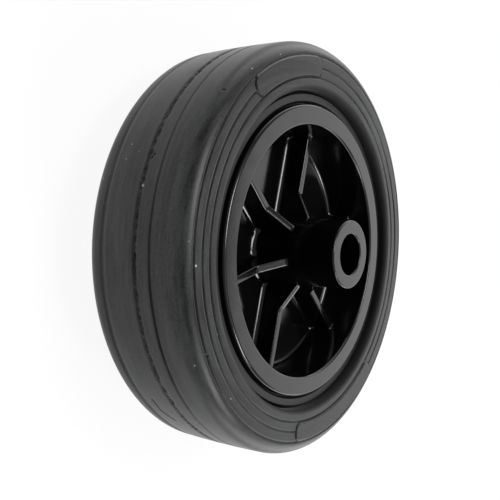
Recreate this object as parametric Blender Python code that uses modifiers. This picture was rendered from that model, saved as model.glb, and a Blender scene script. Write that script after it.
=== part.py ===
"""Lawn mower wheel: a solid rubber tyre on a moulded plastic wheel centre.

The wheel lies flat, with its axle line along +Z and its origin on that line
at the middle of its width. +Z points out of the front. Front and back differ
only in where the two grooves of the tread lie. Sizes below are in
millimetres; the mesh is made in metres.
"""
import math

import bmesh
import bpy
from mathutils import Matrix, Vector

MM = 0.001

# Tyre: a solid rubber ring
TYRE_DIAMETER = 125.0
TYRE_WIDTH = 35.1
SIDEWALL_HEIGHT = 14.2
TREAD_CROWN = 0.35
SHOULDER_RADIUS = 4.7
LIP_ROUND = 0.9
TREAD_GROOVE_WIDTH = 0.9
TREAD_GROOVE_DEPTH = 0.5
FRONT_GROOVE_SETBACK = 11.1
BACK_GROOVE_SETBACK = 6.8
SIDE_GROOVE_WIDTH = 0.8
SIDE_GROOVE_DEPTH = 0.4
SIDE_GROOVE_SETBACKS = (10.35, 7.4, 4.05)

# Rim of the wheel centre, with a stepped flange on each side of the tyre's seat
RIM_WIDTH = 32.5
FLANGE_STEP = 3.0
FLANGE_STEP_DEPTH = 1.35
FLANGE_STEP_FILLET = 0.7
FLANGE_THICKNESS = 2.4
SEAT_DEPTH = 4.8
FACE_WIDTH = 6.1
WELL_DRAFT = 1.0
EDGE_ROUND = 0.4

# Hub, web and ribs of the wheel centre
AXLE_DIAMETER = 12.0
AXLE_CLEARANCE = 0.2
HUB_LENGTH = 58.5
HUB_DIAMETER = 20.2
HUB_DRAFT = 0.5
WEB_THICKNESS = 2.7
RIB_COUNT = 6
RIB_FOOT_THICKNESS = 2.7
RIB_DRAFT_DEGREES = 1.0
RIB_SETBACK = 7.8
RIB_HUB_SETBACK = 2.7
RIB_SLOPE_REACH = 8.4
RIB_BITE = 0.6
ROOT_FILLET = 0.9

# Gaps between the tyre and the wheel centre, hidden at the seat and open at the lip
TYRE_GAP = 0.3
LIP_GAP = 0.9

# Fineness of the turned shapes
TYRE_STEPS = 84
CENTRE_STEPS = 72
FILLET_SEGMENTS = 2
SHOULDER_SEGMENTS = 5
SHARP_DEGREES = 32.0


def arc(centre, radius, start, end, segments):
    """Points on an arc, with angles in degrees."""
    points = []
    for i in range(segments + 1):
        angle = math.radians(start + (end - start) * i / segments)
        points.append((centre[0] + radius * math.cos(angle), centre[1] + radius * math.sin(angle)))
    return points


def mirrored(profile):
    """The same outline for the back, still listed from top to bottom."""
    return [(radius, -height) for radius, height in reversed(profile)]


def material(name, colour, roughness):
    made = bpy.data.materials.new(name)
    made.use_nodes = True
    shader = made.node_tree.nodes["Principled BSDF"]
    shader.inputs["Base Color"].default_value = (*colour, 1.0)
    shader.inputs["Roughness"].default_value = roughness
    shader.inputs["Metallic"].default_value = 0.0
    made.diffuse_color = (*colour, 1.0)
    return made


def turned(name, profile, steps, collection):
    """Turn a closed outline of (radius, height) points about the axle line."""
    mesh = bpy.data.meshes.new(name)
    points = [(radius * MM, 0.0, height * MM) for radius, height in profile]
    edges = [(i, (i + 1) % len(points)) for i in range(len(points))]
    mesh.from_pydata(points, edges, [])
    body = bpy.data.objects.new(name, mesh)
    collection.objects.link(body)
    screw = body.modifiers.new("turn", "SCREW")
    screw.axis = "Z"
    screw.angle = math.tau
    screw.steps = steps
    screw.render_steps = steps
    screw.use_merge_vertices = True
    screw.merge_threshold = 0.000001
    return body


def finished(body, surface):
    """Keep the evaluated mesh, shaded smooth with its real edges sharp."""
    bpy.context.view_layer.update()
    evaluated = body.evaluated_get(bpy.context.evaluated_depsgraph_get())
    mesh = bpy.data.meshes.new_from_object(evaluated)
    mesh.name = body.name
    mesh.shade_smooth()
    mesh.set_sharp_from_angle(angle=math.radians(SHARP_DEGREES))
    mesh.materials.clear()
    mesh.materials.append(surface)
    body.modifiers.clear()
    body.data = mesh
    return body


# Radii and heights that more than one shape uses
tyre_half = TYRE_WIDTH / 2
tread_edge = TYRE_DIAMETER / 2 - TREAD_CROWN
shoulder_start = tread_edge - SHOULDER_RADIUS
rim_half = RIM_WIDTH / 2
web_half = WEB_THICKNESS / 2
hub_half = HUB_LENGTH / 2
lip_radius = TYRE_DIAMETER / 2 - SIDEWALL_HEIGHT
flange_radius = lip_radius - LIP_GAP
face_radius = flange_radius - FLANGE_STEP
ledge_height = rim_half - FLANGE_STEP_DEPTH
flange_back = ledge_height - FLANGE_THICKNESS
seat_radius = flange_radius - SEAT_DEPTH


def tread_radius(height):
    """The tread is highest at its middle and falls a little to the shoulders."""
    across = min(abs(height) / (tyre_half - SHOULDER_RADIUS), 1.0)
    return TYRE_DIAMETER / 2 - TREAD_CROWN * across ** 2


def side_height(radius):
    """The sidewall is flat from the lip and then rounds over into the tread."""
    past = max(radius - shoulder_start, 0.0)
    return tyre_half - SHOULDER_RADIUS + math.sqrt(SHOULDER_RADIUS ** 2 - past ** 2)


def tread_groove(height):
    """A V groove round the tread, listed from top to bottom."""
    half = TREAD_GROOVE_WIDTH / 2
    return [
        (tread_radius(height + half), height + half),
        (tread_radius(height) - TREAD_GROOVE_DEPTH, height),
        (tread_radius(height - half), height - half),
    ]


def sidewall():
    """One side of the tyre from the seat out to the tread, with its fine rings."""
    points = [(seat_radius + TYRE_GAP, flange_back - TYRE_GAP), (lip_radius, flange_back - TYRE_GAP)]
    points += arc((lip_radius + LIP_ROUND, tyre_half - LIP_ROUND), LIP_ROUND, 180, 90, FILLET_SEGMENTS)
    for setback in SIDE_GROOVE_SETBACKS:
        middle = tread_edge - setback
        inner = middle - SIDE_GROOVE_WIDTH / 2
        outer = middle + SIDE_GROOVE_WIDTH / 2
        points.append((inner, side_height(inner)))
        points.append((middle, side_height(middle) - SIDE_GROOVE_DEPTH))
        points.append((outer, side_height(outer)))
    shoulder = arc((shoulder_start, tyre_half - SHOULDER_RADIUS), SHOULDER_RADIUS, 90, 0, SHOULDER_SEGMENTS)
    points += [(radius, height) for radius, height in shoulder if radius > outer]
    return points


def make_tyre(collection):
    """The tyre sits between the rim's flanges and stands clear of them at its lips."""
    tread = tread_groove(tyre_half - FRONT_GROOVE_SETBACK)
    tread.append((tread_radius(0.0), 0.0))
    tread += tread_groove(BACK_GROOVE_SETBACK - tyre_half)
    profile = sidewall() + tread + mirrored(sidewall())
    body = turned("tyre", profile, TYRE_STEPS, collection)
    return finished(body, material("black_rubber", (0.035, 0.035, 0.036), 0.7))


def well_radius(height):
    """The well's wall leans in from the rim's face to the web."""
    return face_radius - FACE_WIDTH - WELL_DRAFT * (rim_half - height) / (rim_half - web_half)


def hub_radius(height):
    """The hub widens from its end down to the web."""
    return HUB_DIAMETER / 2 + HUB_DRAFT * (hub_half - height) / hub_half


def centre_side():
    """One side of the wheel centre from the bore out to the seat."""
    bore = (AXLE_DIAMETER + AXLE_CLEARANCE) / 2
    hub_foot = hub_radius(web_half) + ROOT_FILLET
    well_foot = well_radius(web_half) - ROOT_FILLET
    well_top = well_radius(rim_half)
    points = [(bore, hub_half - EDGE_ROUND), (bore + EDGE_ROUND, hub_half)]
    points += [(HUB_DIAMETER / 2 - EDGE_ROUND, hub_half), (HUB_DIAMETER / 2, hub_half - EDGE_ROUND)]
    points += arc((hub_foot, web_half + ROOT_FILLET), ROOT_FILLET, 180, 270, FILLET_SEGMENTS)
    points += arc((well_foot, web_half + ROOT_FILLET), ROOT_FILLET, 270, 360, FILLET_SEGMENTS)
    points += [(well_top, rim_half - EDGE_ROUND), (well_top + EDGE_ROUND, rim_half)]
    points += [(face_radius - EDGE_ROUND, rim_half), (face_radius, rim_half - EDGE_ROUND)]
    step_foot = (face_radius + FLANGE_STEP_FILLET, ledge_height + FLANGE_STEP_FILLET)
    points += arc(step_foot, FLANGE_STEP_FILLET, 180, 270, FILLET_SEGMENTS)
    points += [(flange_radius - EDGE_ROUND, ledge_height), (flange_radius, ledge_height - EDGE_ROUND)]
    points.append((flange_radius, flange_back))
    points.append((seat_radius, flange_back))
    return points


def rib_section(top):
    """A rib's outline across its length, widening into fillets where it meets the web."""
    foot = RIB_FOOT_THICKNESS / 2
    crest = foot - math.tan(math.radians(RIB_DRAFT_DEGREES)) * (top - web_half)
    half = [(foot + ROOT_FILLET, web_half - RIB_BITE)]
    half += arc((foot + ROOT_FILLET, web_half + ROOT_FILLET), ROOT_FILLET, 270, 180, FILLET_SEGMENTS)
    half.append((crest, top))
    return half + [(-across, height) for across, height in reversed(half)]


def add_rib(mesh, side, angle):
    """Loft one rib from inside the hub, down its slope and along to inside the rim's wall."""
    rib_top = rim_half - RIB_SETBACK
    hub_top = rim_half - RIB_HUB_SETBACK
    hub_face = hub_radius(hub_top)
    fall = (hub_top - rib_top) / RIB_SLOPE_REACH
    stations = [
        (hub_face - RIB_BITE, hub_top + fall * RIB_BITE),
        (hub_face + RIB_SLOPE_REACH, rib_top),
        (well_radius(rib_top) + RIB_BITE, rib_top),
    ]
    turn = Matrix.Rotation(angle, 3, "Z") * MM
    rings = []
    for radius, top in stations:
        outline = [Vector((radius, across, side * height)) for across, height in rib_section(top)]
        rings.append([mesh.verts.new(turn @ point) for point in outline])
    count = len(rings[0])
    for inner, outer in zip(rings, rings[1:]):
        for i in range(count):
            j = (i + 1) % count
            mesh.faces.new((inner[i], inner[j], outer[j], outer[i]))
    mesh.faces.new(rings[0])
    mesh.faces.new(rings[-1])


def make_ribs(collection):
    """All the ribs of both sides, as the operand that is joined to the turned body."""
    mesh = bmesh.new()
    for side in (1, -1):
        for i in range(RIB_COUNT):
            add_rib(mesh, side, math.tau * i / RIB_COUNT)
    bmesh.ops.recalc_face_normals(mesh, faces=mesh.faces)
    data = bpy.data.meshes.new("ribs")
    mesh.to_mesh(data)
    mesh.free()
    ribs = bpy.data.objects.new("ribs", data)
    ribs.hide_render = True
    ribs.display_type = "WIRE"
    collection.objects.link(ribs)
    return ribs


def make_wheel_centre(collection, operands):
    """One moulding: rim, web, hub with its plain bore, and the ribs that brace the hub."""
    profile = centre_side() + mirrored(centre_side())
    body = turned("wheel_centre", profile, CENTRE_STEPS, collection)
    ribs = make_ribs(operands)
    join = body.modifiers.new("ribs", "BOOLEAN")
    join.operation = "UNION"
    join.object = ribs
    finished(body, material("black_polypropylene", (0.02, 0.02, 0.021), 0.38))
    bpy.data.objects.remove(ribs)
    return body


def new_collection(name):
    made = bpy.data.collections.new(name)
    bpy.context.scene.collection.children.link(made)
    return made


for old in list(bpy.data.objects):
    bpy.data.objects.remove(old)

wheel = new_collection("lawn_mower_wheel")
joined_shapes = new_collection("joined_shapes")
make_tyre(wheel)
make_wheel_centre(wheel, joined_shapes)
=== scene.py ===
"""The looks of a lawn mower wheel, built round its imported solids."""
import math

import bpy
from mathutils import Matrix, Vector
from mathutils import noise


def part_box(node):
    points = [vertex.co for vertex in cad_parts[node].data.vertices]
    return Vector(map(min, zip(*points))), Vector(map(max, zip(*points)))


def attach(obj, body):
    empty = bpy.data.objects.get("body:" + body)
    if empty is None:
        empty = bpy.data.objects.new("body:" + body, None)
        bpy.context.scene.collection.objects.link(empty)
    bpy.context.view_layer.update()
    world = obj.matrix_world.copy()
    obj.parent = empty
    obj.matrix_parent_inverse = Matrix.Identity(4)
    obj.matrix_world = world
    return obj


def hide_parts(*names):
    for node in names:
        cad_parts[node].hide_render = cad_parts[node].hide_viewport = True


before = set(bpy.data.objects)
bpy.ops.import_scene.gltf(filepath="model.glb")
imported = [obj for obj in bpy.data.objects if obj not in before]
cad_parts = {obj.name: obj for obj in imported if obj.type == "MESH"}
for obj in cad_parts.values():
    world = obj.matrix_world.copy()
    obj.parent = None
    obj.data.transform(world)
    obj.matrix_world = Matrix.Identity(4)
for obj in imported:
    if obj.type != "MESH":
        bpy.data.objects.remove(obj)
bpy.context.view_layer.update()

# Tyre
# A solid ring of black rubber, moulded in two halves and stretched over the
# rim. The tread has two fine grooves and the torn flash of the parting line.
# Each side has three fine rings, of which two stop at the raised bare pads.

MM = 0.001
tyre_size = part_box("tyre")[1] / MM
TYRE_RADIUS = tyre_size.x
TYRE_HALF_WIDTH = tyre_size.z
TREAD_DROP = 0.12
TREAD_CROWN = 0.35
SHOULDER_RADIUS = 4.7
LIP_RADIUS = 48.3
LIP_ROUND = 1.6
LIP_WALL_HEIGHTS = (13.5, 15.0)
SEAT_RADIUS = 42.9
SEAT_HEIGHT = 12.2
TREAD_ROW_HEIGHTS = (-3.0, -6.0, -8.5, 3.2, 4.8, 8.6, 10.8)
# Each groove's height, half width and depth.
TREAD_GROOVES = ((6.45, 0.62, 0.55), (-10.75, 1.15, 0.42))
GROOVE_FADE_ANGLE = 125.0
GROOVE_FADE_REACH = 75.0
GROOVE_FADE = 0.58
SIDE_RINGS = (51.8, 54.75, 58.1)
SIDE_RING_HALF_WIDTH = 0.5
SIDE_RING_DEPTH = 0.6
SIDE_RING_MARGIN = 1.0
RING_END_GAP = 0.1
RING_END_FADE = 0.5
PARTING_HEIGHT = 1.25
PARTING_HALF_WIDTH = 1.15
PARTING_DEPTH = 0.62
PARTING_SWAY = 0.12
PARTING_SWAY_SCALE = 14.0
TORN_MIDDLE = 0.6
TORN_RANGE = 0.9
TORN_LEAST = 0.1
TORN_SCALE = 50.0
TORN_OFFSET = (0, 0, 5)
PAD_MIDDLE = 54.95
PAD_HALF_HEIGHT = 2.75
PAD_RISE = 0.3
PAD_CORNER = 1.3
PAD_BOW = 0.8
PAD_EDGE = 0.14
PAD_SIDE_REACH = 0.6
PAD_SIDE_DEEPENING = 1.35
MOAT_OFFSET = 0.34
MOAT_HALF_WIDTH = 0.34
MOAT_DEPTH = 0.55
MOAT_BRIDGE = 0.45
MOAT_REACH = 1.0
MOAT_TURN = 1.6
MOAT_FAINT_SHARE = 0.35
# Each pad's middle and half its length in degrees, and which end is cut deep.
PADS = ((93.4, 18.0, 1), (-88.1, 26.0, -1))
PAD_ZONE = 2.4
FINE_STEP = 0.125
COARSE_STEP = 1.0

tread_top = TYRE_RADIUS - TREAD_DROP
shoulder_start = TYRE_RADIUS - TREAD_CROWN - SHOULDER_RADIUS
shoulder_height = TYRE_HALF_WIDTH - SHOULDER_RADIUS


def spread(start, end, count):
    """Evenly spaced values after start, up to and with end."""
    return [start + (end - start) * i / count for i in range(1, count + 1)]


def round_edge(centre, radius, start, end, count):
    """Points on an arc of a turned outline, angles in degrees."""
    angles = [math.radians(start)] + [math.radians(a) for a in spread(start, end, count)]
    return [(centre[0] + radius * math.cos(a), centre[1] + radius * math.sin(a)) for a in angles]


def smooth(value):
    """A soft step from 0 to 1."""
    held = min(max(value, 0.0), 1.0)
    return held * held * (3 - 2 * held)


def hump(offset, half_width):
    """A rounded hump of height 1 at offset 0, gone at half_width."""
    if abs(offset) >= half_width:
        return 0.0
    return 0.5 + 0.5 * math.cos(math.pi * offset / half_width)


def side_outline():
    """One side of the tyre from seat to tread, as (radius, height, whether it has relief)."""
    rows = [(SEAT_RADIUS, SEAT_HEIGHT, False), (LIP_RADIUS, SEAT_HEIGHT, False)]
    rows += [(LIP_RADIUS, height, False) for height in LIP_WALL_HEIGHTS]
    lip = round_edge((LIP_RADIUS + LIP_ROUND, TYRE_HALF_WIDTH - LIP_ROUND), LIP_ROUND, 180, 90, 6)
    rows += [(radius, height, False) for radius, height in lip]
    first, second, third = SIDE_RINGS
    inner = first - SIDE_RING_MARGIN
    radii = [inner] + spread(inner, first, 5) + spread(first, second, 15)
    radii += spread(second, third, 17) + spread(third, third + SIDE_RING_MARGIN, 5)
    for radius in radii:
        past = max(radius - shoulder_start, 0.0)
        height = shoulder_height + math.sqrt(SHOULDER_RADIUS ** 2 - past ** 2)
        rows.append((radius, height, True))
    begin = math.degrees(math.acos((radii[-1] - shoulder_start) / SHOULDER_RADIUS))
    edge = round_edge((shoulder_start, shoulder_height), SHOULDER_RADIUS, begin, 0, 10)[1:-1]
    rows += [(radius, height, False) for radius, height in edge]
    return rows


def tread_radius(height):
    """The crowned tread, a little lower at its edges."""
    across = min(abs(height) / shoulder_height, 1.0)
    edge = TYRE_RADIUS - TREAD_CROWN
    return edge + (tread_top - edge) * (1 - across ** 2)


def tread_heights():
    """Heights across the tread, close together at the grooves and the parting line."""
    shares = (0.0, 0.2, 0.4, 0.6, 0.8, 1.0)
    cuts = [(middle, half) for middle, half, _ in TREAD_GROOVES]
    cuts.append((PARTING_HEIGHT, PARTING_HALF_WIDTH))
    heights = {shoulder_height, -shoulder_height, *TREAD_ROW_HEIGHTS}
    for middle, half in cuts:
        heights |= {middle + side * share * half for share in shares for side in (1, -1)}
    return sorted(heights, reverse=True)


def column_angles():
    """Angles round the tyre, close together at the ends of the pads."""
    ends = [middle + side * half for middle, half, _ in PADS for side in (1, -1)]
    angles = []
    angle = -180.0
    while angle < 180.0 - FINE_STEP / 2:
        angles.append(angle)
        near = min(abs((angle - end + 180.0) % 360.0 - 180.0) for end in ends)
        reach = max(near - PAD_ZONE, 0.0)
        angle += min(max(reach, FINE_STEP), COARSE_STEP)
    return angles


def pad_distance(radius, angle, middle, half):
    """Distance in mm outside a pad's rounded outline, and the turn from the pad's middle."""
    turn = (angle - middle + 180.0) % 360.0 - 180.0
    level = (radius - PAD_MIDDLE) / PAD_HALF_HEIGHT
    along = math.radians(abs(turn) - half) * PAD_MIDDLE + PAD_BOW * level ** 2 + PAD_CORNER
    up = abs(radius - PAD_MIDDLE) - PAD_HALF_HEIGHT + PAD_CORNER
    outside = math.hypot(max(along, 0.0), max(up, 0.0))
    return outside + min(max(along, up), 0.0) - PAD_CORNER, turn


def side_relief(radius, angle):
    """Rise of the sidewall's surface in mm: rings, pads and the cut round each pad's ends."""
    found = [(*pad_distance(radius, angle, middle, half), half, end) for middle, half, end in PADS]
    distance, turn, half, deep_end = min(found)
    rise = PAD_RISE * (1 - smooth(0.5 + distance / (2 * PAD_EDGE)))
    keep = smooth((distance - RING_END_GAP) / RING_END_FADE)
    deepening = 1.0 if distance > PAD_SIDE_REACH else PAD_SIDE_DEEPENING
    first, second, third = SIDE_RINGS
    rise -= SIDE_RING_DEPTH * hump(radius - first, SIDE_RING_HALF_WIDTH) * deepening
    rise -= SIDE_RING_DEPTH * keep * hump(radius - second, SIDE_RING_HALF_WIDTH)
    rise -= SIDE_RING_DEPTH * keep * hump(radius - third, SIDE_RING_HALF_WIDTH)
    if distance < MOAT_REACH and abs(turn) > half - MOAT_TURN:
        bridge = 1 - math.exp(-((radius - second) / MOAT_BRIDGE) ** 2)
        strength = 1.0 if turn * deep_end > 0 else MOAT_FAINT_SHARE
        rise -= strength * MOAT_DEPTH * bridge * hump(distance - MOAT_OFFSET, MOAT_HALF_WIDTH)
    return rise


def tread_relief(height, angle):
    """Depth of the tread's surface in mm: grooves and the torn parting line."""
    depth = 0.0
    turn = (angle - GROOVE_FADE_ANGLE + 180.0) % 360.0 - 180.0
    shown = 1 - GROOVE_FADE * hump(turn, GROOVE_FADE_REACH)
    for middle, half, deepest in TREAD_GROOVES:
        depth += deepest * shown * hump(height - middle, half)
    place = Vector((math.cos(math.radians(angle)), math.sin(math.radians(angle)), 0.0))
    sway = PARTING_SWAY * noise.noise(place * PARTING_SWAY_SCALE)
    torn = TORN_MIDDLE + TORN_RANGE * noise.noise(place * TORN_SCALE + Vector(TORN_OFFSET))
    line = hump(height - PARTING_HEIGHT - sway, PARTING_HALF_WIDTH)
    depth += PARTING_DEPTH * max(torn, TORN_LEAST) * line
    return depth


def make_tyre_mesh():
    """Lay the outline round the axle line, with the relief of sides and tread worked in."""
    side = side_outline()
    rows = [(radius, height, "front" if relief else "") for radius, height, relief in side]
    rows += [(tread_radius(height), height, "tread") for height in tread_heights()]
    rows += [(radius, -height, "back" if relief else "") for radius, height, relief in reversed(side)]
    angles = column_angles()
    points = []
    for angle in angles:
        across = math.cos(math.radians(angle)) * MM
        along = math.sin(math.radians(angle)) * MM
        for radius, height, kind in rows:
            if kind == "front":
                height += side_relief(radius, angle)
            elif kind == "back":
                height -= side_relief(radius, angle)
            elif kind == "tread":
                radius -= tread_relief(height, angle)
            points.append((radius * across, radius * along, height * MM))
    count = len(rows)
    faces = []
    for i in range(len(angles)):
        here = i * count
        there = (i + 1) % len(angles) * count
        for j in range(count):
            k = (j + 1) % count
            faces.append((here + j, here + k, there + k, there + j))
    mesh = bpy.data.meshes.new("tyre_moulding")
    mesh.from_pydata(points, [], faces)
    return mesh


def linear(colour):
    """A hex sRGB colour as linear RGBA."""
    channels = [int(colour[i:i + 2], 16) / 255 for i in (1, 3, 5)]
    return (*[c / 12.92 if c <= 0.04045 else ((c + 0.055) / 1.055) ** 2.4 for c in channels], 1.0)


def add_node(tree, kind, inputs=(), **settings):
    """Add a node, set its settings, and set or link its inputs."""
    node = tree.nodes.new(kind)
    for name, value in settings.items():
        setattr(node, name, value)
    for key, value in dict(inputs).items():
        if isinstance(value, bpy.types.NodeSocket):
            tree.links.new(value, node.inputs[key])
        else:
            node.inputs[key].default_value = value
    return node


def new_material(name):
    """A material with only its Principled shader, and its node tree."""
    made = bpy.data.materials.new(name)
    made.use_nodes = True
    return made, made.node_tree, made.node_tree.nodes["Principled BSDF"]


# Moulded rubber: dull black, dusted grey in bands and fine streaks round the
# wheel. Near the lip the dust is left out, which is painted shade where tyre
# meets rim. The torn parting line reads black, partly as bare torn rubber and
# partly as painted shade in its cut; the pits and the nick are painted shade.
# A few bare specks read pale, and the listed pale marks are painted glints.
RUBBER_COLOUR = "#070708"
RUBBER_DUST = "#333435"
RUBBER_TORN_AND_SHADE = "#080808"
RUBBER_SPECK_AND_GLINT = "#a4a6a2"
RUBBER_IOR = 1.4
RUBBER_SHEEN = 0.15
RUBBER_SHEEN_ROUGHNESS = 0.3
RUBBER_ROUGHNESS = 0.4
RUBBER_SMOOTHER = 0.06
RUBBER_ROUGHER = 0.08
LIP_DULLNESS = 0.4
TEAR_DULLNESS = 0.4
NOISE_LOW = 0.3
NOISE_MIDDLE = 0.5
NOISE_HIGH = 0.7
BLOOM_SIZE = 4.0
BLOOM_ROUGHNESS = 0.62
STREAK_SIZE = 0.9
STREAK_SHORTENING = 0.12
STREAK_SHARE = 0.3
STREAK_BUMP = 0.25
STREAK_RISE = 0.06
GRAIN_SIZE = 0.6
GRAIN_SHARE = 0.22
GRAIN_BUMP = 0.5
GRAIN_RISE = 0.05
DUST_START = 0.4
DUST_FULL = 0.62
LIP_SHADE_TO = 0.4
LIP_SHADE_GONE_FROM = 1.5
TEAR_WANDER = 5.0
TEAR_SWAY = 0.3
TEAR_HALF_WIDTH = 1.1
TEAR_SIZE = 0.9
TEAR_ROUGHNESS = 0.65
TEAR_START = 0.4
TEAR_FULL = 0.55
TREAD_BAND_START = 59.5
TREAD_BAND_FULL = 60.0
RELIEF_RISE = 1.1
PIT_SHARE = 0.5
SPECK_SPACING = 5.0
SPECK_SIZE = 0.2
SPECK_OUTER = 1.2
SPECK_INNER = 0.8
SPECK_CUT = 0.65
MARK_CORE = 0.5
NICK = ((-56.1, -27.3, -6.3), (-53.5, -32.2, -6.4), (-51.0, -36.1, -4.2))
NICK_WIDTH = 0.6
NICK_CORE = 0.3
# Each mark's place and its size. The pale marks are painted glints, and the dark ones are pits darkened as
# painted shade.
PAINTED_GLINTS = (
    (-55.7, 13.5, 17.5, 0.42), (-52.6, 33.1, 1.4, 0.55), (-45.5, 42.6, -6.9, 0.22),
    (-47.2, 40.9, -3.3, 0.2), (-48.4, 39.3, -7.1, 0.2))
DARK_MARKS = (
    (-48.5, 39.4, 2.4, 0.7), (-47.8, 40.2, 1.0, 0.6), (-47.9, 40.0, 2.9, 0.6),
    (-31.6, 52.8, 15.2, 0.55), (-57.0, -10.2, 17.5, 0.6))


def stronger(tree, first, second):
    """The larger of two masks at each place."""
    return add_node(tree, "ShaderNodeMath", {0: first, 1: second}, operation="MAXIMUM").outputs["Value"]


def marks_mask(tree, place, marks):
    """A mask of small round marks, each given as its place and size in mm."""
    mask = None
    for x, y, z, size in marks:
        away = add_node(tree, "ShaderNodeVectorMath", {
            0: place, 1: (x * MM, y * MM, z * MM)}, operation="DISTANCE")
        spot = add_node(tree, "ShaderNodeMapRange", {
            "Value": away.outputs["Value"], "From Min": size * MM,
            "From Max": MARK_CORE * size * MM}).outputs["Result"]
        mask = spot if mask is None else stronger(tree, mask, spot)
    return mask


def nick_mask(tree, place, start, end, width):
    """A mask along a straight nick from start to end, both in mm."""
    start = Vector(start) * MM
    end = Vector(end) * MM
    along = (end - start) / (end - start).length_squared
    offset = add_node(tree, "ShaderNodeVectorMath", {0: place, 1: start}, operation="SUBTRACT")
    share = add_node(tree, "ShaderNodeVectorMath", {
        0: offset.outputs["Vector"], 1: along}, operation="DOT_PRODUCT")
    held = add_node(tree, "ShaderNodeClamp", {"Value": share.outputs["Value"]})
    nearest = add_node(tree, "ShaderNodeVectorMath", {
        0: end - start, "Scale": held.outputs["Result"]}, operation="SCALE")
    away = add_node(tree, "ShaderNodeVectorMath", {
        0: offset.outputs["Vector"], 1: nearest.outputs["Vector"]}, operation="DISTANCE")
    return add_node(tree, "ShaderNodeMapRange", {
        "Value": away.outputs["Value"], "From Min": width * MM,
        "From Max": NICK_CORE * width * MM}).outputs["Result"]


rubber, tree, shader = new_material("moulded_black_rubber")
place = add_node(tree, "ShaderNodeTexCoord").outputs["Object"]
parts = add_node(tree, "ShaderNodeSeparateXYZ", {"Vector": place})
flat = add_node(tree, "ShaderNodeCombineXYZ", {"X": parts.outputs["X"], "Y": parts.outputs["Y"]})
radius = add_node(tree, "ShaderNodeVectorMath", {0: flat.outputs["Vector"]}, operation="LENGTH")
drift = add_node(tree, "ShaderNodeMath", {
    0: parts.outputs["X"], 1: STREAK_SHORTENING, 2: radius.outputs["Value"]}, operation="MULTIPLY_ADD")
slow = add_node(tree, "ShaderNodeMath", {0: parts.outputs["Y"], 1: STREAK_SHORTENING}, operation="MULTIPLY")
ring = add_node(tree, "ShaderNodeCombineXYZ", {
    "X": drift.outputs["Value"], "Y": slow.outputs["Value"], "Z": parts.outputs["Z"]})
bloom = add_node(tree, "ShaderNodeTexNoise", {
    "Vector": ring.outputs["Vector"], "Scale": 1 / (BLOOM_SIZE * MM), "Detail": 4.0,
    "Roughness": BLOOM_ROUGHNESS})
streak = add_node(tree, "ShaderNodeTexNoise", {
    "Vector": ring.outputs["Vector"], "Scale": 1 / (STREAK_SIZE * MM), "Detail": 2.0})
grain = add_node(tree, "ShaderNodeTexNoise", {
    "Vector": place, "Scale": 1 / (GRAIN_SIZE * MM), "Detail": 2.0})
mixed = add_node(tree, "ShaderNodeMix", {
    0: STREAK_SHARE, 2: bloom.outputs["Fac"], 3: streak.outputs["Fac"]}, data_type="FLOAT")
mottled = add_node(tree, "ShaderNodeMix", {
    0: GRAIN_SHARE, 2: mixed.outputs[0], 3: grain.outputs["Fac"]}, data_type="FLOAT")
dusty = add_node(tree, "ShaderNodeMapRange", {
    "Value": mottled.outputs[0], "From Min": DUST_START, "From Max": DUST_FULL})
# Painted shade: near the lip, where the tyre meets the rim, the grey dust is left out so the rubber reads
# darker.
beyond_lip_shade = add_node(tree, "ShaderNodeMapRange", {
    "Value": radius.outputs["Value"], "From Min": (LIP_RADIUS + LIP_SHADE_TO) * MM,
    "From Max": (LIP_RADIUS + LIP_SHADE_GONE_FROM) * MM})
dust_and_lip_shade = add_node(tree, "ShaderNodeMath", {
    0: dusty.outputs["Result"], 1: beyond_lip_shade.outputs["Result"]}, operation="MULTIPLY")
colour = add_node(tree, "ShaderNodeMix", {
    0: dust_and_lip_shade.outputs["Value"], 6: linear(RUBBER_COLOUR), 7: linear(RUBBER_DUST)}, data_type="RGBA")
sheen = add_node(tree, "ShaderNodeMapRange", {
    "Value": mixed.outputs[0], "From Min": NOISE_LOW, "From Max": NOISE_HIGH,
    "To Min": RUBBER_ROUGHNESS - RUBBER_SMOOTHER, "To Max": RUBBER_ROUGHNESS + RUBBER_ROUGHER})
fine = add_node(tree, "ShaderNodeBump", {
    "Height": grain.outputs["Fac"], "Strength": GRAIN_BUMP, "Distance": GRAIN_RISE * MM})
waves = add_node(tree, "ShaderNodeBump", {
    "Height": streak.outputs["Fac"], "Strength": STREAK_BUMP, "Distance": STREAK_RISE * MM,
    "Normal": fine.outputs["Normal"]})
wander = add_node(tree, "ShaderNodeTexNoise", {
    "Vector": place, "Scale": 1 / (TEAR_WANDER * MM), "Detail": 2.0})
aside = add_node(tree, "ShaderNodeMapRange", {
    "Value": wander.outputs["Fac"], "To Min": (PARTING_HEIGHT - TEAR_SWAY) * MM,
    "To Max": (PARTING_HEIGHT + TEAR_SWAY) * MM})
across = add_node(tree, "ShaderNodeMath", {
    0: parts.outputs["Z"], 1: aside.outputs["Result"]}, operation="SUBTRACT")
beside = add_node(tree, "ShaderNodeMath", {0: across.outputs["Value"]}, operation="ABSOLUTE")
line = add_node(tree, "ShaderNodeMapRange", {
    "Value": beside.outputs["Value"], "From Min": TEAR_HALF_WIDTH * MM, "From Max": 0.0})
tread_side = add_node(tree, "ShaderNodeMapRange", {
    "Value": radius.outputs["Value"], "From Min": TREAD_BAND_START * MM,
    "From Max": TREAD_BAND_FULL * MM})
band = add_node(tree, "ShaderNodeMath", {
    0: line.outputs["Result"], 1: tread_side.outputs["Result"]}, operation="MULTIPLY")
tear = add_node(tree, "ShaderNodeTexNoise", {
    "Vector": place, "Scale": 1 / (TEAR_SIZE * MM), "Detail": 3.0,
    "Roughness": TEAR_ROUGHNESS})
ragged = add_node(tree, "ShaderNodeMapRange", {
    "Value": tear.outputs["Fac"], "From Min": TEAR_START, "From Max": TEAR_FULL})
ragged_band = add_node(tree, "ShaderNodeMath", {
    0: band.outputs["Value"], 1: ragged.outputs["Result"]}, operation="MULTIPLY")
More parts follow.
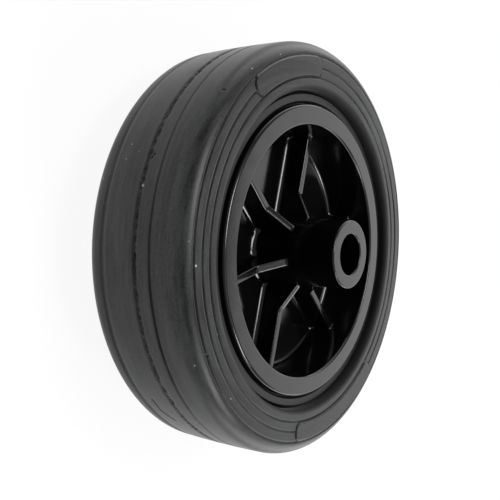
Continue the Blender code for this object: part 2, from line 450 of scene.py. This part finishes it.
pits = marks_mask(tree, place, DARK_MARKS)
for start, end in zip(NICK, NICK[1:]):
    pits = stronger(tree, pits, nick_mask(tree, place, start, end, NICK_WIDTH))
torn = stronger(tree, ragged_band.outputs["Value"], pits)
cells = add_node(tree, "ShaderNodeTexVoronoi", {"Vector": place, "Scale": 1 / (SPECK_SPACING * MM)})
near = add_node(tree, "ShaderNodeMapRange", {
    "Value": cells.outputs["Distance"], "From Min": SPECK_OUTER * SPECK_SIZE / SPECK_SPACING,
    "From Max": SPECK_INNER * SPECK_SIZE / SPECK_SPACING})
lot = add_node(tree, "ShaderNodeSeparateColor", {"Color": cells.outputs["Color"]})
pale = add_node(tree, "ShaderNodeMath", {
    0: lot.outputs["Red"], 1: SPECK_CUT}, operation="GREATER_THAN")
chance = add_node(tree, "ShaderNodeMath", {
    0: near.outputs["Result"], 1: pale.outputs["Value"]}, operation="MULTIPLY")
# Painted glints: the listed pale marks join the random pale specks in the pale colour.
speck_and_glint = stronger(tree, chance.outputs["Value"], marks_mask(tree, place, PAINTED_GLINTS))
# Painted shade: the torn parting band, the pits and the nick take the dark colour, as bare torn rubber and
# as shade in the cut and the hollows.
torn_and_shaded = add_node(tree, "ShaderNodeMix", {
    0: torn, 6: colour.outputs[2], 7: linear(RUBBER_TORN_AND_SHADE)}, data_type="RGBA")
flecked_and_glinting = add_node(tree, "ShaderNodeMix", {
    0: speck_and_glint, 6: torn_and_shaded.outputs[2], 7: linear(RUBBER_SPECK_AND_GLINT)}, data_type="RGBA")
rougher = add_node(tree, "ShaderNodeMath", {
    0: torn, 1: TEAR_DULLNESS, 2: sheen.outputs["Result"]}, operation="MULTIPLY_ADD")
duller = add_node(tree, "ShaderNodeMapRange", {
    "Value": beyond_lip_shade.outputs["Result"], "To Min": LIP_DULLNESS, "To Max": 0.0})
rough = add_node(tree, "ShaderNodeMath", {
    0: rougher.outputs["Value"], 1: duller.outputs["Result"]}, operation="ADD")
uneven = add_node(tree, "ShaderNodeMath", {
    0: tear.outputs["Fac"], 1: NOISE_MIDDLE}, operation="SUBTRACT")
rise = add_node(tree, "ShaderNodeMath", {
    0: band.outputs["Value"], 1: uneven.outputs["Value"]}, operation="MULTIPLY")
depth = add_node(tree, "ShaderNodeMath", {
    0: pits, 1: -PIT_SHARE, 2: rise.outputs["Value"]}, operation="MULTIPLY_ADD")
flash_relief = add_node(tree, "ShaderNodeBump", {
    "Height": depth.outputs["Value"], "Strength": 1.0, "Distance": RELIEF_RISE * MM,
    "Normal": waves.outputs["Normal"]})
tree.links.new(flecked_and_glinting.outputs[2], shader.inputs["Base Color"])
tree.links.new(rough.outputs["Value"], shader.inputs["Roughness"])
tree.links.new(flash_relief.outputs["Normal"], shader.inputs["Normal"])
shader.inputs["IOR"].default_value = RUBBER_IOR
shader.inputs["Sheen Weight"].default_value = RUBBER_SHEEN
shader.inputs["Sheen Roughness"].default_value = RUBBER_SHEEN_ROUGHNESS


def new_input(tree, name, kind):
    """A named input of a Geometry Nodes tree, as its identifier."""
    return tree.interface.new_socket(name, in_out="INPUT", socket_type=kind).identifier


def new_geometry_tree(name):
    """A Geometry Nodes tree with its geometry input and output."""
    tree = bpy.data.node_groups.new(name, "GeometryNodeTree")
    tree.interface.new_socket("Geometry", in_out="INPUT", socket_type="NodeSocketGeometry")
    tree.interface.new_socket("Geometry", in_out="OUTPUT", socket_type="NodeSocketGeometry")
    return tree


def settled(piece, name):
    """Replace a piece's mesh by what its modifiers make of it."""
    bpy.context.view_layer.update()
    made = piece.evaluated_get(bpy.context.evaluated_depsgraph_get())
    mesh = bpy.data.meshes.new_from_object(made)
    mesh.name = name
    piece.modifiers.clear()
    piece.data = mesh


def weigh_normals(piece):
    """Shade flats as flats and turn the light only on the rounded edges."""
    piece.data.shade_smooth()
    weighted = piece.modifiers.new("shading", "WEIGHTED_NORMAL")
    weighted.mode = "FACE_AREA"
    weighted.weight = 80


# The flash left along the parting line is torn rubber crumbs, scattered on a
# circle and pressed into the shallow cut.
CRUMB_COUNT = 640
CRUMB_SIZE = 0.16
CRUMB_SINK = 0.2
CRUMB_SHARE = 0.62
CRUMB_LEAST = (0.3, 0.3, 0.25)
CRUMB_MOST = (1.3, 0.9, 0.7)
# How far a crumb may stray along each axis, in metres.
CRUMB_STRAY = (0.00012, 0.00012, 0.0005)

crumbs = new_geometry_tree("parting_line_crumbs")
path_radius = new_input(crumbs, "Line radius", "NodeSocketFloat")
path_height = new_input(crumbs, "Line height", "NodeSocketFloat")
how_many = new_input(crumbs, "Crumbs", "NodeSocketInt")
crumb_size = new_input(crumbs, "Crumb size", "NodeSocketFloat")
crumb_surface = new_input(crumbs, "Rubber", "NodeSocketMaterial")
given = add_node(crumbs, "NodeGroupInput").outputs
circle = add_node(crumbs, "GeometryNodeCurvePrimitiveCircle", {
    "Radius": given["Line radius"], "Resolution": given["Crumbs"]})
lifted = add_node(crumbs, "ShaderNodeCombineXYZ", {"Z": given["Line height"]})
raised = add_node(crumbs, "GeometryNodeTransform", {
    "Geometry": circle.outputs["Curve"], "Translation": lifted.outputs["Vector"]})
jitter = add_node(crumbs, "FunctionNodeRandomValue", {
    "Min": [-stray for stray in CRUMB_STRAY], "Max": CRUMB_STRAY, "Seed": 4},
    data_type="FLOAT_VECTOR")
strewn = add_node(crumbs, "GeometryNodeSetPosition", {
    "Geometry": raised.outputs["Geometry"], "Offset": jitter.outputs[0]})
seats = add_node(crumbs, "GeometryNodeCurveToPoints", {
    "Curve": strewn.outputs["Geometry"]}, mode="EVALUATED")
crumb = add_node(crumbs, "GeometryNodeMeshIcoSphere", {
    "Radius": given["Crumb size"], "Subdivisions": 1})
turned = add_node(crumbs, "FunctionNodeRandomValue", {
    "Min": (0.0, 0.0, 0.0), "Max": (math.tau, math.tau, math.tau), "Seed": 7},
    data_type="FLOAT_VECTOR")
swollen = add_node(crumbs, "FunctionNodeRandomValue", {
    "Min": CRUMB_LEAST, "Max": CRUMB_MOST, "Seed": 9}, data_type="FLOAT_VECTOR")
kept = add_node(crumbs, "FunctionNodeRandomValue", {
    "Probability": CRUMB_SHARE, "Seed": 11}, data_type="BOOLEAN")
scattered = add_node(crumbs, "GeometryNodeInstanceOnPoints", {
    "Points": seats.outputs["Points"], "Instance": crumb.outputs["Mesh"],
    "Selection": kept.outputs[3], "Rotation": turned.outputs[0], "Scale": swollen.outputs[0]})
realised = add_node(crumbs, "GeometryNodeRealizeInstances", {"Geometry": scattered.outputs["Instances"]})
joined = add_node(crumbs, "GeometryNodeJoinGeometry")
crumbs.links.new(realised.outputs["Geometry"], joined.inputs["Geometry"])
crumbs.links.new(given["Geometry"], joined.inputs["Geometry"])
finish_rubber = add_node(crumbs, "GeometryNodeSetMaterial", {
    "Geometry": joined.outputs["Geometry"], "Material": given["Rubber"]})
add_node(crumbs, "NodeGroupOutput", {"Geometry": finish_rubber.outputs["Geometry"]})

tyre = bpy.data.objects.new("rubber_tyre", make_tyre_mesh())
bpy.context.scene.collection.objects.link(tyre)
weigh_normals(tyre)
settled(tyre, "rubber_tyre")
flash = tyre.modifiers.new("flash", "NODES")
flash.node_group = crumbs
flash[path_radius] = (tread_top - CRUMB_SINK) * MM
flash[path_height] = PARTING_HEIGHT * MM
flash[how_many] = CRUMB_COUNT
flash[crumb_size] = CRUMB_SIZE * MM
flash[crumb_surface] = rubber
settled(tyre, "rubber_tyre")
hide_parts("tyre")
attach(tyre, "root")

# Wheel centre
# One moulding of black polypropylene: a hub with a plain bore, six ribs on
# each side of a thin web, and a rim with a stepped flange. The edges and
# roots in sight are slightly round, as a mould leaves them.

centre_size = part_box("wheel_centre")[1] / MM
FLANGE_RADIUS = centre_size.x
HUB_HALF_LENGTH = centre_size.z
HUB_RADIUS = 10.1
HUB_DRAFT = 0.5
HUB_ROW_HEIGHTS = (26.0, 21.0)
HUB_FAN_HEIGHT = 3.0
BORE_RADIUS = 6.1
BORE_ROW_HEIGHTS = (0.0, 10.0, 20.0)
BORE_EDGE_START = 1.0
BORE_EDGE_ROUND = 0.4
RIM_HALF_WIDTH = 16.25
WELL_RADIUS = 38.3
WELL_DRAFT = 1.0
WELL_FAN_HEIGHT = 2.6
FACE_RADIUS = 44.4
LEDGE_DEPTH = 1.3
LEDGE_GROOVE_DEPTH = 1.0
LEDGE_GROOVE_WIDTH = 0.7
LEDGE_GROOVE_FLOOR = 0.25
FLANGE_THICKNESS = 2.4
RIM_SEAT_RADIUS = 42.6
WEB_HALF = 1.35
RIBS = 6
RIB_HALF_THICKNESS = 1.35
RIB_DRAFT = math.tan(math.radians(1.0))
RIB_HEIGHT = 8.45
RIB_HUB_HEIGHT = 13.55
RIB_SLOPE_REACH = 8.4
FOOT_ROUND = 1.9
RIB_TOP_ROUND = 0.5
WALL_ROUND = 0.6
HUB_ROOT_ROUND = 2.2
WELL_ROOT_ROUND = 1.3
WELL_EDGE_ROUND = 0.7
RIM_EDGE_ROUND = 1.0
HUB_EDGE_ROUND = 0.42
SMALL_ROUND = 0.3
KNEE_ROUND = 0.7
KNEE_RISE = 0.06
FLOOR_RAILS = 6
WELD_GAP = 0.004

hub_face = HUB_RADIUS + HUB_DRAFT * (HUB_HALF_LENGTH - RIB_HUB_HEIGHT) / HUB_HALF_LENGTH
knee = hub_face + RIB_SLOPE_REACH
half_sector = math.pi / RIBS


def hub_radius(height):
    """The hub's outside, which narrows toward its end."""
    return HUB_RADIUS + HUB_DRAFT * (HUB_HALF_LENGTH - height) / HUB_HALF_LENGTH


def well_radius(height):
    """The wall round the pockets, which opens toward the rim's face."""
    return WELL_RADIUS - WELL_DRAFT * (RIM_HALF_WIDTH - height) / (RIM_HALF_WIDTH - WEB_HALF)


def rib_top(radius):
    """Height of a rib's top: a slope down from the hub, a small bend and a level run."""
    slope = (RIB_HUB_HEIGHT - RIB_HEIGHT) / RIB_SLOPE_REACH
    above = slope * (knee - radius)
    blend = smooth(0.5 + (knee - radius) / (2 * KNEE_ROUND))
    return RIB_HEIGHT + max(above, 0.0) * blend + KNEE_RISE * hump(knee - radius, KNEE_ROUND)


def rib_half(height):
    """Half a rib's thickness, which is less toward its top."""
    return RIB_HALF_THICKNESS - RIB_DRAFT * (height - WEB_HALF)


def rails(radius):
    """Half a rib and half a pocket's floor, cut across at this radius.

    Each point has its distance from the rib's middle, its height, its outward
    direction and, on the floor, its share of the way to the pocket's middle.
    """
    top = rib_top(radius)
    crest = rib_half(top)
    cut = [(0.0, top, 0.0, 1.0, 0.0)]
    for angle in (90, 67.5, 45, 22.5, 0):
        out = math.cos(math.radians(angle))
        up = math.sin(math.radians(angle))
        cut.append((crest + RIB_TOP_ROUND * (out - 1), top + RIB_TOP_ROUND * (up - 1), out, up, 0.0))
    centre = rib_half(WEB_HALF + FOOT_ROUND) + FOOT_ROUND
    for angle in (180, 198, 216, 234, 252, 270):
        out = math.cos(math.radians(angle))
        up = math.sin(math.radians(angle))
        cut.append((centre + FOOT_ROUND * out, WEB_HALF + FOOT_ROUND * (1 + up), -out, -up, 0.0))
    for i in range(1, FLOOR_RAILS + 1):
        cut.append((centre, WEB_HALF, 0.0, 1.0, i / FLOOR_RAILS))
    return cut


def pocket_row(radius_of, sign, root, turn):
    """A row of points along the fillet at the hub's or the well's wall, wider on the web."""
    wall = radius_of(RIB_HUB_HEIGHT if sign > 0 else RIB_HEIGHT)
    reference = wall + sign * WALL_ROUND * (1 - math.sin(turn))
    row = []
    for across, height, out, up, share in rails(reference):
        low = smooth((WEB_HALF + FOOT_ROUND - height) / FOOT_ROUND)
        bend = WALL_ROUND + (root - WALL_ROUND) * low
        distance = bend * (1 - math.sin(turn))
        lift = bend * (1 - math.cos(turn))
        across += out * lift
        height += up * lift
        radius = radius_of(height) + sign * distance
        angle = math.asin(across / radius)
        row.append((radius, angle + (half_sector - angle) * share, height))
    return row


def level_row(radius):
    """A row of points across the open pocket at one radius."""
    row = []
    for across, height, _, _, share in rails(radius):
        angle = math.asin(across / radius)
        row.append((radius, angle + (half_sector - angle) * share, height))
    return row


def fan_rows(start, height, radius_of, count):
    """Rows up a wall, from a pocket's edge to evenly spread points at one height."""
    last = len(start) - 1
    rows = []
    for step in spread(0.0, 1.0, count):
        row = []
        for i, (radius, angle, level) in enumerate(start):
            turn = angle + (half_sector * i / last - angle) * step
            rise = level + (height - level) * step
            row.append((radius_of(rise), turn, rise))
        rows.append(row)
    return rows


def even_row(radius, height, count):
    """A row of evenly spread points at one radius and height."""
    return [(radius, half_sector * i / (count - 1), height) for i in range(count)]


def root_rows(radius_of, sign, root):
    """Rows of the fillet where ribs and web run into a wall, from the wall outwards."""
    return [pocket_row(radius_of, sign, root, math.radians(a)) for a in (90, 75, 60, 45, 30, 15, 0)]


def make_centre_wedge():
    """A half sector of the front side, from the bore across rib and pocket out to the seat."""
    count = len(rails(knee))
    end = HUB_HALF_LENGTH
    bore = [(BORE_RADIUS, height) for height in (*BORE_ROW_HEIGHTS, end - BORE_EDGE_START)]
    bore += round_edge((BORE_RADIUS + BORE_EDGE_ROUND, end - BORE_EDGE_ROUND), BORE_EDGE_ROUND, 180, 90, 4)
    bore += round_edge((HUB_RADIUS - HUB_EDGE_ROUND, end - HUB_EDGE_ROUND), HUB_EDGE_ROUND, 90, 0, 4)
    rows = [even_row(radius, height, count) for radius, height in bore]
    rows += [even_row(hub_radius(height), height, count) for height in HUB_ROW_HEIGHTS]
    hub_root = root_rows(hub_radius, 1, HUB_ROOT_ROUND)
    rows += reversed(fan_rows(hub_root[0], RIB_HUB_HEIGHT + HUB_FAN_HEIGHT, hub_radius, 3))
    rows += hub_root
    bend = [knee + share * KNEE_ROUND for share in (-1, -0.5, 0, 0.5, 1)]
    start = hub_face + WALL_ROUND
    stop = well_radius(RIB_HEIGHT) - WALL_ROUND
    middle = spread(bend[-1], stop, 4)[:-1]
    rows += [level_row(radius) for radius in [(start + knee) / 2, *bend, *middle]]
    well_root = root_rows(well_radius, -1, WELL_ROOT_ROUND)
    rows += reversed(well_root)
    rows += fan_rows(well_root[0], RIB_HEIGHT + WELL_FAN_HEIGHT, well_radius, 3)
    face = RIM_HALF_WIDTH
    ledge = RIM_HALF_WIDTH - LEDGE_DEPTH
    back = ledge - FLANGE_THICKNESS
    groove = ledge - LEDGE_GROOVE_DEPTH
    ledge_middle = ledge - SMALL_ROUND
    rim = round_edge((WELL_RADIUS + WELL_EDGE_ROUND, face - WELL_EDGE_ROUND), WELL_EDGE_ROUND, 180, 90, 7)
    rim += round_edge((FACE_RADIUS - RIM_EDGE_ROUND, face - RIM_EDGE_ROUND), RIM_EDGE_ROUND, 90, 0, 9)
    rim += [(FACE_RADIUS, groove), (FACE_RADIUS + LEDGE_GROOVE_FLOOR, groove)]
    groove_edge = FACE_RADIUS + LEDGE_GROOVE_WIDTH + SMALL_ROUND
    rim += round_edge((groove_edge, ledge_middle), SMALL_ROUND, 140, 90, 4)
    rim += round_edge((FLANGE_RADIUS - SMALL_ROUND, ledge_middle), SMALL_ROUND, 90, 0, 5)
    rim += [(FLANGE_RADIUS, back), (RIM_SEAT_RADIUS, back), (RIM_SEAT_RADIUS, 0.0)]
    rows += [even_row(radius, height, count) for radius, height in rim]
    points = [(r * math.cos(a) * MM, r * math.sin(a) * MM, z * MM) for row in rows for r, a, z in row]
    faces = []
    for i in range(len(rows) - 1):
        for j in range(count - 1):
            here = i * count + j
            faces.append((here, here + count, here + count + 1, here + 1))
    mesh = bpy.data.meshes.new("centre_wedge")
    mesh.from_pydata(points, [], faces)
    return mesh


# Moulded polypropylene: near black and satin. Flats show the lamps as even
# grey and rounded edges as thin bright lines, and deep walls stay black.
PLASTIC_COLOUR = "#060607"
PLASTIC_IOR = 1.49
PLASTIC_ROUGHNESS = 0.12
PLASTIC_SMOOTHER = 0.04
PLASTIC_ROUGHER = 0.05
PLASTIC_DULL_ROUGHNESS = 0.5
PLASTIC_CLOUD_SIZE = 6.0
PLASTIC_GRAIN_SIZE = 0.2
PLASTIC_GRAIN_BUMP = 0.2
PLASTIC_GRAIN_RISE = 0.02
FLANGE_DULL_START = 0.1
FLANGE_DULL_FULL = 0.4

plastic, tree, shader = new_material("moulded_black_polypropylene")
place = add_node(tree, "ShaderNodeTexCoord").outputs["Object"]
cloud = add_node(tree, "ShaderNodeTexNoise", {
    "Vector": place, "Scale": 1 / (PLASTIC_CLOUD_SIZE * MM), "Detail": 3.0})
grain = add_node(tree, "ShaderNodeTexNoise", {
    "Vector": place, "Scale": 1 / (PLASTIC_GRAIN_SIZE * MM), "Detail": 1.0})
satin = add_node(tree, "ShaderNodeMapRange", {
    "Value": cloud.outputs["Fac"], "From Min": NOISE_LOW, "From Max": NOISE_HIGH,
    "To Min": PLASTIC_ROUGHNESS - PLASTIC_SMOOTHER, "To Max": PLASTIC_ROUGHNESS + PLASTIC_ROUGHER})
skin = add_node(tree, "ShaderNodeBump", {
    "Height": grain.outputs["Fac"], "Strength": PLASTIC_GRAIN_BUMP,
    "Distance": PLASTIC_GRAIN_RISE * MM})
parts = add_node(tree, "ShaderNodeSeparateXYZ", {"Vector": place})
flat = add_node(tree, "ShaderNodeCombineXYZ", {"X": parts.outputs["X"], "Y": parts.outputs["Y"]})
radius = add_node(tree, "ShaderNodeVectorMath", {0: flat.outputs["Vector"]}, operation="LENGTH")
flange = add_node(tree, "ShaderNodeMapRange", {
    "Value": radius.outputs["Value"], "From Min": (FACE_RADIUS + FLANGE_DULL_START) * MM,
    "From Max": (FACE_RADIUS + FLANGE_DULL_FULL) * MM})
finish = add_node(tree, "ShaderNodeMix", {
    0: flange.outputs["Result"], 2: satin.outputs["Result"],
    3: PLASTIC_DULL_ROUGHNESS}, data_type="FLOAT")
tree.links.new(finish.outputs[0], shader.inputs["Roughness"])
tree.links.new(skin.outputs["Normal"], shader.inputs["Normal"])
shader.inputs["Base Color"].default_value = linear(PLASTIC_COLOUR)
shader.inputs["IOR"].default_value = PLASTIC_IOR

# The moulding repeats: the half sector is mirrored across its rib, set round
# the axle line once for each rib, and mirrored again for the back.
repeat = new_geometry_tree("wheel_centre_sectors")
rib_number = new_input(repeat, "Ribs", "NodeSocketInt")
weld_gap = new_input(repeat, "Weld", "NodeSocketFloat")
surface = new_input(repeat, "Plastic", "NodeSocketMaterial")
given = add_node(repeat, "NodeGroupInput").outputs


def mirrored_join(tree, geometry, scale, weld):
    """Join a shape with its mirror image, turned the right way out, and weld the seam."""
    image = add_node(tree, "GeometryNodeTransform", {"Geometry": geometry, "Scale": scale})
    outward = add_node(tree, "GeometryNodeFlipFaces", {"Mesh": image.outputs["Geometry"]})
    both = add_node(tree, "GeometryNodeJoinGeometry")
    tree.links.new(outward.outputs["Mesh"], both.inputs["Geometry"])
    tree.links.new(geometry, both.inputs["Geometry"])
    welded = add_node(tree, "GeometryNodeMergeByDistance", {
        "Geometry": both.outputs["Geometry"], "Distance": weld})
    return welded.outputs["Geometry"]


sector = mirrored_join(repeat, given["Geometry"], (1, -1, 1), given["Weld"])
stations = add_node(repeat, "GeometryNodePoints", {"Count": given["Ribs"]})
number = add_node(repeat, "GeometryNodeInputIndex")
step = add_node(repeat, "ShaderNodeMath", {0: math.tau, 1: given["Ribs"]}, operation="DIVIDE")
turn = add_node(repeat, "ShaderNodeMath", {
    0: number.outputs["Index"], 1: step.outputs["Value"]}, operation="MULTIPLY")
about = add_node(repeat, "ShaderNodeCombineXYZ", {"Z": turn.outputs["Value"]})
placed = add_node(repeat, "GeometryNodeInstanceOnPoints", {
    "Points": stations.outputs["Points"], "Instance": sector, "Rotation": about.outputs["Vector"]})
ring_of = add_node(repeat, "GeometryNodeRealizeInstances", {"Geometry": placed.outputs["Instances"]})
whole = mirrored_join(repeat, ring_of.outputs["Geometry"], (1, 1, -1), given["Weld"])
finish_plastic = add_node(repeat, "GeometryNodeSetMaterial", {
    "Geometry": whole, "Material": given["Plastic"]})
add_node(repeat, "NodeGroupOutput", {"Geometry": finish_plastic.outputs["Geometry"]})

centre = bpy.data.objects.new("plastic_wheel_centre", make_centre_wedge())
bpy.context.scene.collection.objects.link(centre)
sectors = centre.modifiers.new("sectors", "NODES")
sectors.node_group = repeat
sectors[rib_number] = RIBS
sectors[weld_gap] = WELD_GAP * MM
sectors[surface] = plastic
settled(centre, "plastic_wheel_centre")
weigh_normals(centre)
settled(centre, "plastic_wheel_centre")
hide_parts("wheel_centre")
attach(centre, "root")

# Floor
# A plain pale ground under the wheel, which lies on the end of its hub. The
# camera sees it almost white, with only a part of the wheel's shadow.
FLOOR_SIZE = 6.0
FLOOR_GAP = 0.0001
FLOOR_COLOUR = "#f2f2f2"
FLOOR_SHADOW_SHARE = 0.08

ground = bpy.data.meshes.new("floor")
half = FLOOR_SIZE / 2
level = -HUB_HALF_LENGTH * MM - FLOOR_GAP
corners = [(-half, -half, level), (half, -half, level), (half, half, level), (-half, half, level)]
ground.from_pydata(corners, [], [(0, 1, 2, 3)])
floor = bpy.data.objects.new("floor", ground)
bpy.context.scene.collection.objects.link(floor)
paper = bpy.data.materials.new("pale_paper_ground")
paper.use_nodes = True
tree = paper.node_tree
tree.nodes.clear()
rays = add_node(tree, "ShaderNodeLightPath").outputs
matt = add_node(tree, "ShaderNodeBsdfDiffuse", {"Color": linear(FLOOR_COLOUR)})
white = add_node(tree, "ShaderNodeEmission", {"Color": linear("#ffffff"), "Strength": 1.0})
seen = stronger(tree, rays["Is Camera Ray"], rays["Is Glossy Ray"])
share = add_node(tree, "ShaderNodeMath", {0: seen, 1: 1 - FLOOR_SHADOW_SHARE}, operation="MULTIPLY")
blend = add_node(tree, "ShaderNodeMixShader", {
    "Fac": share.outputs["Value"], 1: matt.outputs["BSDF"], 2: white.outputs["Emission"]})
add_node(tree, "ShaderNodeOutputMaterial", {"Surface": blend.outputs["Shader"]})
ground.materials.append(paper)

# Light
# A wide soft box to the right fills the flats with grey, and two small bright
# ones high up draw the lines on the edges. Two low wide ones and a dim one
# overhead light what these leave, in a pale room.
PICTURE_TURN = 19.6
ROOM_LEVEL = 0.32
# Each lamp's name, azimuth, elevation, distance, width, height and radiance.
LAMPS = (
    ("side_box", -2, 20, 0.8, 0.95, 0.58, 1.22),
    ("upper_box", 97, 76, 0.8, 0.25, 0.32, 12.0),
    ("lower_box", -77, 49, 0.8, 0.22, 0.24, 13.0),
    ("tent_top", 90, 89, 0.85, 0.36, 1.3, 0.9),
    ("left_wall", 66, 6, 0.8, 1.0, 0.5, 2.7),
    ("right_wall", -66, 6, 0.8, 1.0, 0.5, 3.2))

world = bpy.data.worlds.new("pale_room")
bpy.context.scene.world = world
world.use_nodes = True
tree = world.node_tree
tree.nodes.clear()
rays = add_node(tree, "ShaderNodeLightPath").outputs
room = add_node(tree, "ShaderNodeBackground", {"Color": linear("#ffffff"), "Strength": ROOM_LEVEL})
backdrop = add_node(tree, "ShaderNodeBackground", {"Color": linear("#ffffff"), "Strength": 1.0})
blend = add_node(tree, "ShaderNodeMixShader", {
    "Fac": rays["Is Camera Ray"], 1: room.outputs["Background"], 2: backdrop.outputs["Background"]})
add_node(tree, "ShaderNodeOutputWorld", {"Surface": blend.outputs["Shader"]})


def soft_box(name, azimuth, elevation, distance, width, height, radiance):
    """Add a rectangular lamp that faces the wheel: angles in degrees, lengths in metres."""
    data = bpy.data.lights.new(name, "AREA")
    data.shape = "RECTANGLE"
    data.size = width
    data.size_y = height
    data.energy = radiance * math.pi * width * height
    lamp = bpy.data.objects.new(name, data)
    bpy.context.scene.collection.objects.link(lamp)
    turn = math.radians(azimuth - PICTURE_TURN)
    rise = math.radians(elevation)
    away = Vector((math.cos(turn) * math.cos(rise), math.sin(turn) * math.cos(rise), math.sin(rise)))
    lamp.location = away * distance
    lamp.rotation_euler = away.to_track_quat("Z", "Y").to_euler()
    lamp.visible_camera = False


for lamp in LAMPS:
    soft_box(*lamp)

# Camera
# Stands to the front left of the wheel's face and is turned on its side, so
# that the wheel, which lies flat, shows upright as in the photograph.
CAMERA_PLACE = (-0.18950, 0.06267, 0.13564)
CAMERA_TURNS = (-113.294, 51.884, 95.971)
CAMERA_LENS = 54.108
CAMERA_SHIFT = (0.07368, 0.0986)
SENSOR_WIDTH = 36.0
CLIP_START = 0.01

lens = bpy.data.cameras.new("camera")
lens.lens = CAMERA_LENS
lens.sensor_width = SENSOR_WIDTH
lens.shift_x, lens.shift_y = CAMERA_SHIFT
lens.clip_start = CLIP_START
camera = bpy.data.objects.new("camera", lens)
bpy.context.scene.collection.objects.link(camera)
azimuth, tilt, roll = (math.radians(a) for a in CAMERA_TURNS)
aim = Matrix.Rotation(azimuth, 4, "Z") @ Matrix.Rotation(tilt, 4, "X") @ Matrix.Rotation(roll, 4, "Z")
camera.matrix_world = Matrix.Translation(CAMERA_PLACE) @ aim
bpy.context.scene.camera = camera

bpy.context.scene.view_settings.view_transform = "Standard"
